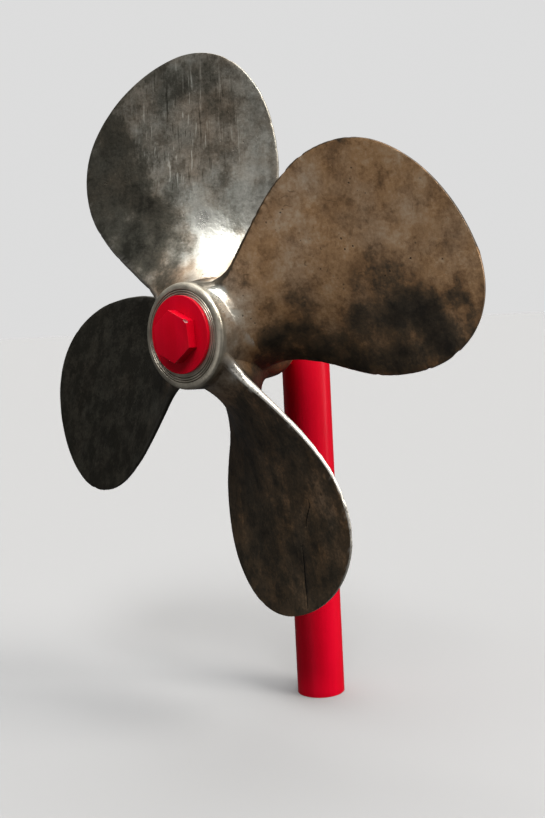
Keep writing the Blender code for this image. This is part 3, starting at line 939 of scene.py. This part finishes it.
casting = cast_propeller()
paint_finish_values(casting.data)
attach(casting, "root")
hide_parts("propeller")


# The retaining disc
# A round steel plate that clamps the boss, turned to size, its rim rounded, and painted red.

DISC_ROUND = 0.0022
DISC_BORE_GAP = 0.009
DISC_STEPS = 192
CORNER_STEPS = 4


def red_gloss():
    """Crimson gloss paint, brushed on thick, with faint runs and a few specks of dust under it."""
    paint = Finish("red_gloss_paint", {"Specular IOR Level": 0.15, "Coat Roughness": 0.14})
    cloud = paint.grain(3.0, detail=5)
    run = paint.grain(26, detail=3, place=paint.place((1, 1, 0.05)))
    dust = paint.grain(190, detail=2)
    colour = paint.ramp(
        0.5 * cloud + 0.5 * run,
        (0.30, (0.46, 0.0, 0.008)),
        (0.70, (0.64, 0.0, 0.018)),
    )
    paint.use("Base Color", colour)
    paint.use("Roughness", 0.36 + 0.16 * (cloud - 0.5))
    paint.use("Coat Weight", 0.12 + 0.3 * (run - 0.5))
    paint.relief((run, 0.0008), (cloud, 0.003), (dust, 0.0001))
    return paint.material


RED_GLOSS = red_gloss()


def rounded_ring(inner, outer, low, high, round_off):
    """A ring's (radius, height) profile, its outer corners rounded off."""
    points = []
    for centre, start in ((high - round_off, 90), (low + round_off, 0)):
        for step in range(CORNER_STEPS + 1):
            a = math.radians(start - 90 * step / CORNER_STEPS)
            radius = outer - round_off + round_off * math.cos(a)
            points.append((radius, centre + round_off * math.sin(a)))
    return [*points, (inner, low), (inner, high)]


def shaft_reach(node):
    """Where a node starts and ends along the shaft line, counted aft from the hub."""
    low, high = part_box(node)
    return HUB.y - high.y, HUB.y - low.y


def paint_red(piece, node=None):
    """Finish a steel piece, which takes a CAD node's place or is added to what is there."""
    piece.data.materials.append(RED_GLOSS)
    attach(piece, "root")
    if node:
        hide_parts(node)
    return piece


def turned_red(name, node, profile, steps, place=SHAFT_FRAME):
    """A turned and painted steel piece in its CAD node's place."""
    paint_red(piece_from(name, spun(profile, steps), place), node)


def radius_of(node):
    """Half of a round node's width across the shaft or the post."""
    low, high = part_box(node)
    return (high.x - low.x) / 2


disc_low, disc_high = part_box("retaining_disc")
disc_lift = (disc_high.z + disc_low.z) / 2 - HUB.z
lifted = Matrix.Translation((0, 0, disc_lift)) @ SHAFT_FRAME
bore = radius_of("nut_stud") + DISC_BORE_GAP
reach = shaft_reach("retaining_disc")
profile = rounded_ring(bore, radius_of("retaining_disc"), *reach, DISC_ROUND)
turned_red("disc_plate", "retaining_disc", profile, DISC_STEPS, lifted)


# The nut
# A big hexagon of painted steel, screwed on the stud. One corner is knocked back to the primer.


def chipped_primer():
    """Dull pinkish-grey primer, left where the gloss paint has been knocked off."""
    primer = Finish("chipped_primer", {})
    specks = primer.grain(260, detail=4)
    pink = primer.ramp(specks, (0.38, (0.38, 0.02, 0.03)), (0.60, (0.34, 0.19, 0.18)))
    primer.use("Base Color", pink)
    primer.use("Roughness", 0.62 + 0.2 * (specks - 0.5))
    primer.relief((specks, 0.0004))
    return primer.material


NUT_CORNER_RADIUS = 0.108
NUT_TURN = math.radians(5.5)
NUT_BEVEL = 0.0016
NUT_FACE_WALL = 0.014
# The knocked corner: the lump's size, how far it sits off the corner, and its seed
KNOCK_SIZE = 0.0145
KNOCK_OUT = 0.003
KNOCK_AFT = 0.001
KNOCK_SEED = 2
# The gap that the CAD leaves where one part seats in another
SEAT_GAP = 0.0003
THREAD_STEPS = 64
CUTTER_ROUND = 0.001
CUTTER_OVERLAP = 0.01


def bevel(shape, width, segments):
    """Round off every edge of a shape."""
    bmesh.ops.bevel(
        shape,
        geom=shape.edges,
        offset=width,
        segments=segments,
        profile=0.5,
        affect="EDGES",
        material=-1,
    )


nut_forward, nut_aft = shaft_reach("hex_nut")
nut = bmesh.new()
bmesh.ops.create_cone(
    nut,
    cap_ends=True,
    segments=6,
    radius1=NUT_CORNER_RADIUS,
    radius2=NUT_CORNER_RADIUS,
    depth=nut_aft - nut_forward,
)
bevel(nut, NUT_BEVEL, 3)
middle = Matrix.Translation((0, 0, (nut_aft + nut_forward) / 2))
nut_place = SHAFT_FRAME @ middle @ Matrix.Rotation(NUT_TURN, 4, "Z")
nut_piece = paint_red(piece_from("nut_hexagon", nut, nut_place), "hex_nut")
thread_radius = radius_of("nut_stud") + SEAT_GAP
thread_reach = nut_forward - CUTTER_OVERLAP, nut_aft - NUT_FACE_WALL
thread = rounded_ring(0, thread_radius, *thread_reach, CUTTER_ROUND)
thread_cutter = piece_from("thread_cutter", spun(thread, THREAD_STEPS))
corner = math.radians(30) + NUT_TURN
knock_place = round_axis(NUT_CORNER_RADIUS + KNOCK_OUT, corner, nut_aft + KNOCK_AFT)
knock = chip_cutter("knock", knock_place, KNOCK_SIZE, KNOCK_SEED)
knock.data.materials.append(chipped_primer())
combine(nut_piece, "DIFFERENCE", [thread_cutter, knock])
# The knocked faces are rough, not rounded
for face in nut_piece.data.polygons:
    if face.material_index > 0:
        face.use_smooth = False


# The arm
# A steel pipe welded through the post. A turned collar on it takes the boss, a plate closes its
# rear end, and two upright plates stiffen it against the post. All of it is painted with the post.

ARM_RADIUS = 0.08415
ARM_WALL = 0.011
PIPE_ROUND = 0.0015
PLATE_ROUND = 0.0020
GUSSET_DEPTH_AT_COLLAR = 0.040
GUSSET_BEVEL = 0.0012
ARM_STEPS = 128
BEAD_RADIUS = 0.0055
BEAD_SPACING = 0.0035
# How much a bead's ripples and its slower swelling change its radius
BEAD_RIPPLE = 0.10
BEAD_SWELLING = 0.16
COLLAR_BEAD_OUT = 0.002
SCENE_FRAME = Matrix.Identity(4)


def weld_bead(name, path, ring_radius):
    """A rippled bead of weld on a closed path of t from 0 to 1. A ring of this radius is as long."""
    count = round(math.tau * ring_radius / BEAD_SPACING)
    curve = bpy.data.curves.new(name, "CURVE")
    curve.dimensions = "3D"
    curve.bevel_depth = BEAD_RADIUS
    curve.bevel_resolution = 2
    spline = curve.splines.new("POLY")
    spline.points.add(count - 1)
    spline.use_cyclic_u = True
    for i, point in enumerate(spline.points):
        at = path(i / count)
        point.co = (*at, 1)
        ripple = BEAD_RIPPLE * math.cos(math.pi * i)
        point.radius = 1 + ripple + BEAD_SWELLING * noise.noise(at * 40)
    tube = link(name + "_path", curve)
    mesh = evaluated_mesh(tube)
    bpy.data.objects.remove(tube)
    mesh.shade_smooth()
    paint_red(link(name, mesh))


def ring_path(radius, aft):
    """A circle round the shaft line."""
    return lambda t: SHAFT_FRAME @ round_axis(radius, math.tau * t, aft)


arm_reach = shaft_reach("arm_pipe")
profile = rounded_ring(ARM_RADIUS - ARM_WALL, ARM_RADIUS, *arm_reach, PIPE_ROUND)
turned_red("arm_tube", "arm_pipe", profile, ARM_STEPS)

collar_reach = shaft_reach("thrust_collar")
collar_radius = radius_of("thrust_collar")
profile = rounded_ring(ARM_RADIUS + SEAT_GAP, collar_radius, *collar_reach, PLATE_ROUND)
turned_red("collar_plate", "thrust_collar", profile, ARM_STEPS)
collar_seam = ring_path(ARM_RADIUS + COLLAR_BEAD_OUT, collar_reach[0])
weld_bead("collar_weld", collar_seam, ARM_RADIUS)

cap_reach = shaft_reach("arm_rear_cap")
profile = rounded_ring(0, radius_of("arm_rear_cap"), *cap_reach, PLATE_ROUND)
turned_red("rear_plate", "arm_rear_cap", profile, ARM_STEPS)
weld_bead("rear_weld", ring_path(ARM_RADIUS, cap_reach[1]), ARM_RADIUS)

post_radius = radius_of("post_pipe")


def saddle_path(side):
    """The line where the arm's outside meets the post's, on its nut side or on its rear side."""
    def path(t):
        a = math.tau * t
        across = ARM_RADIUS * math.cos(a)
        out = math.sqrt(post_radius**2 - across**2)
        return Vector((across, -side * out, HUB.z + ARM_RADIUS * math.sin(a)))
    return path


weld_bead("front_saddle_weld", saddle_path(1), ARM_RADIUS)
weld_bead("rear_saddle_weld", saddle_path(-1), ARM_RADIUS)


def gusset(name, side):
    """A plate above or below the arm, deeper at the post than at the collar, its edges rounded."""
    low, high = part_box(name)
    root = HUB.z + side * ARM_RADIUS
    outline = (
        (low.y, root),
        (low.y, root + side * GUSSET_DEPTH_AT_COLLAR),
        (high.y, root + side * (high.z - low.z)),
        (high.y, root),
    )
    thickness = high.x - low.x
    plate = bmesh.new()
    face = plate.faces.new([plate.verts.new((-thickness / 2, y, z)) for y, z in outline])
    moved = bmesh.ops.extrude_face_region(plate, geom=[face])
    new_verts = [part for part in moved["geom"] if isinstance(part, bmesh.types.BMVert)]
    bmesh.ops.translate(plate, verts=new_verts, vec=(thickness, 0, 0))
    bevel(plate, GUSSET_BEVEL, 2)
    paint_red(piece_from(name + "_plate", plate, SCENE_FRAME), name)


gusset("upper_gusset", 1)
gusset("lower_gusset", -1)


# The post
# A plain steel pipe that runs into the ground, filled with concrete and closed by a welded plate.

POST_WALL = 0.0082
POST_STEPS = 160
POST_ROWS = 48
ARM_HOLE_REACH = 0.3

post_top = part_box("post_pipe")[1].z
profile = rounded_ring(post_radius - POST_WALL, post_radius, 0, post_top, PIPE_ROUND)
post = spun(profile, POST_STEPS)
for row in range(1, POST_ROWS):
    height = post_top * row / POST_ROWS
    every = [*post.verts, *post.edges, *post.faces]
    bmesh.ops.bisect_plane(post, geom=every, plane_co=(0, 0, height), plane_no=(0, 0, 1))
post_piece = paint_red(piece_from("post_tube", post, SCENE_FRAME), "post_pipe")
hole_radius = ARM_RADIUS + SEAT_GAP
arm_hole = rounded_ring(0, hole_radius, -ARM_HOLE_REACH, ARM_HOLE_REACH, CUTTER_ROUND)
at_post = Matrix.Translation((0, 0, HUB.z)) @ Matrix.Rotation(math.radians(90), 4, "X")
combine(post_piece, "DIFFERENCE", [piece_from("arm_cutter", spun(arm_hole, ARM_STEPS), at_post)])

cap_low, cap_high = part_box("post_cap")
profile = rounded_ring(0, post_radius, cap_low.z, cap_high.z, PLATE_ROUND)
turned_red("top_plate", "post_cap", profile, POST_STEPS, SCENE_FRAME)
weld_bead("top_weld", lambda t: round_axis(post_radius, math.tau * t, cap_low.z), post_radius)


# The parts that stay out of sight
# Machined steel inside the boss, and the concrete that fills the post. Their CAD shapes stay.


def bare_steel():
    """Dull grey machined steel with rust in its pores."""
    steel = Finish("bare_steel", {"Metallic": 0.9})
    cloud = steel.grain(14, detail=5)
    pores = steel.grain(170, detail=4)
    rust = steel.between(0.6 * cloud + 0.4 * pores, 0.50, 0.62)
    grey = steel.ramp(pores, (0.35, (0.20, 0.195, 0.19)), (0.65, (0.42, 0.41, 0.40)))
    brown = steel.ramp(cloud, (0.35, (0.10, 0.045, 0.022)), (0.65, (0.24, 0.115, 0.055)))
    steel.use("Base Color", steel.blend(0.7 * rust, grey, brown))
    steel.use("Roughness", 0.38 + 0.35 * rust)
    steel.relief((pores, 0.0003), (rust, 0.0002))
    return steel.material


def rough_concrete():
    """Grey concrete with sand, stones and air holes."""
    concrete = Finish("rough_concrete", {})
    sand = concrete.grain(220, detail=3)
    cloud = concrete.grain(7, detail=6)
    stones = concrete.between(concrete.cells(48), 0.10, 0.34)
    holes = concrete.between(concrete.cells(90), 0.03, 0.09)
    shade = 0.4 * cloud + 0.25 * sand + 0.35 * stones
    colour = concrete.ramp(shade, (0.25, (0.23, 0.22, 0.20)), (0.75, (0.50, 0.49, 0.46)))
    concrete.use("Base Color", colour)
    concrete.use("Roughness", 0.84 + 0.12 * (sand - 0.5))
    concrete.relief((cloud, 0.002), (holes, 0.002), (sand, 0.0006))
    return concrete.material


steel = bare_steel()
for name in ("nut_stud", "arm_plug", "aft_centring_ring", "forward_centring_ring", "locking_key"):
    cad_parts[name].material_slots[0].material = steel
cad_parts["post_concrete_core"].material_slots[0].material = rough_concrete()


# The studio
# A plain pale floor and soft lamps, with the camera where the photograph was taken from.

FLOOR_RADIUS = 400

floor_shape = bmesh.new()
bmesh.ops.create_circle(floor_shape, cap_ends=True, segments=96, radius=FLOOR_RADIUS)
floor = piece_from("studio_floor", floor_shape, SCENE_FRAME)
matt_grey = Finish("studio_floor", {
    "Base Color": (0.29, 0.29, 0.29, 1),
    "Roughness": 1.0,
    "Specular IOR Level": 0.0,
})
floor.data.materials.append(matt_grey.material)
# The floor takes shadows and isn't mirrored in the bronze
floor.visible_diffuse = False
floor.visible_glossy = False

CAMERA_YAW = math.radians(40.94)
CAMERA_PITCH = math.radians(4.65)
CAMERA_ROLL = math.radians(2.9)
CAMERA_PLACE = HUB + Vector((3.139, -3.352, 0.044))
SENSOR = 36
FOCAL_PIXELS = 1081.9
PHOTO_HEIGHT = 818

camera = link("camera", bpy.data.cameras.new("camera"))
camera.data.sensor_width = SENSOR
camera.data.lens = SENSOR * (FOCAL_PIXELS / PHOTO_HEIGHT)
ahead = Vector((
    -math.sin(CAMERA_YAW) * math.cos(CAMERA_PITCH),
    math.cos(CAMERA_YAW) * math.cos(CAMERA_PITCH),
    -math.sin(CAMERA_PITCH),
))
level_right = ahead.cross(Vector((0, 0, 1))).normalized()
level_up = level_right.cross(ahead)
right = level_right * math.cos(CAMERA_ROLL) - level_up * math.sin(CAMERA_ROLL)
up = level_up * math.cos(CAMERA_ROLL) + level_right * math.sin(CAMERA_ROLL)
aimed = Matrix((right, up, -ahead)).transposed().to_4x4()
camera.matrix_world = Matrix.Translation(CAMERA_PLACE) @ aimed
bpy.context.scene.camera = camera


def facing(toward):
    """The turn of a lamp that stands in this direction and shines back along it."""
    return Vector(toward).to_track_quat("Z", "Y").to_euler()


def soft_lamp(name, toward, spread, strength, tint=(1, 1, 1)):
    """A far-off softbox in this direction, as many degrees wide as its spread."""
    lamp = link(name, bpy.data.lights.new(name, "SUN"))
    lamp.data.angle = math.radians(spread)
    lamp.data.energy = strength
    lamp.data.color = tint
    lamp.rotation_euler = facing(toward)


DAYLIGHT = (1.0, 0.97, 0.93)
soft_lamp("side_key", (0.78, 0.14, 0.61), 26, 2.9, DAYLIGHT)
soft_lamp("rear_key", (0.66, 0.52, 0.54), 46, 1.2, DAYLIGHT)
soft_lamp("rear_low", (0.74, 0.66, 0.12), 30, 0.42)
soft_lamp("rear_top", (-0.18, 0.48, 0.86), 60, 2.1)
soft_lamp("overhead", (-0.03, -0.27, 0.96), 62, 2.0)
soft_lamp("front_top", (0.44, -0.50, 0.75), 22, 1.9)
soft_lamp("front_fill", (0.06, -0.95, 0.30), 56, 0.15)

reflector = link("low_reflector", bpy.data.lights.new("low_reflector", "AREA"))
reflector.data.shape = "DISK"
reflector.data.size = 1.7
reflector.data.energy = 3.9
reflector.location = HUB + Vector((0.0, -2.3, -0.9))
reflector.rotation_euler = facing((-0.65, -2.3, -1.0))

# The backdrop is pale to look at and dim as a lamp, so that the softboxes do the lighting
BACKDROP_AS_LAMP = 0.060
BACKDROP_AS_SEEN = 0.72
world = bpy.data.worlds.new("studio")
bpy.context.scene.world = world
world.use_nodes = True
backdrop = world.node_tree.nodes
ray = backdrop.new("ShaderNodeLightPath")
strength = backdrop.new("ShaderNodeMapRange")
strength.inputs["To Min"].default_value = BACKDROP_AS_LAMP
strength.inputs["To Max"].default_value = BACKDROP_AS_SEEN
world.node_tree.links.new(ray.outputs["Is Camera Ray"], strength.inputs["Value"])
world.node_tree.links.new(strength.outputs["Result"], backdrop["Background"].inputs["Strength"])
backdrop["Background"].inputs["Color"].default_value = (1, 1, 1, 1)
bpy.context.scene.view_settings.view_transform = "Standard"
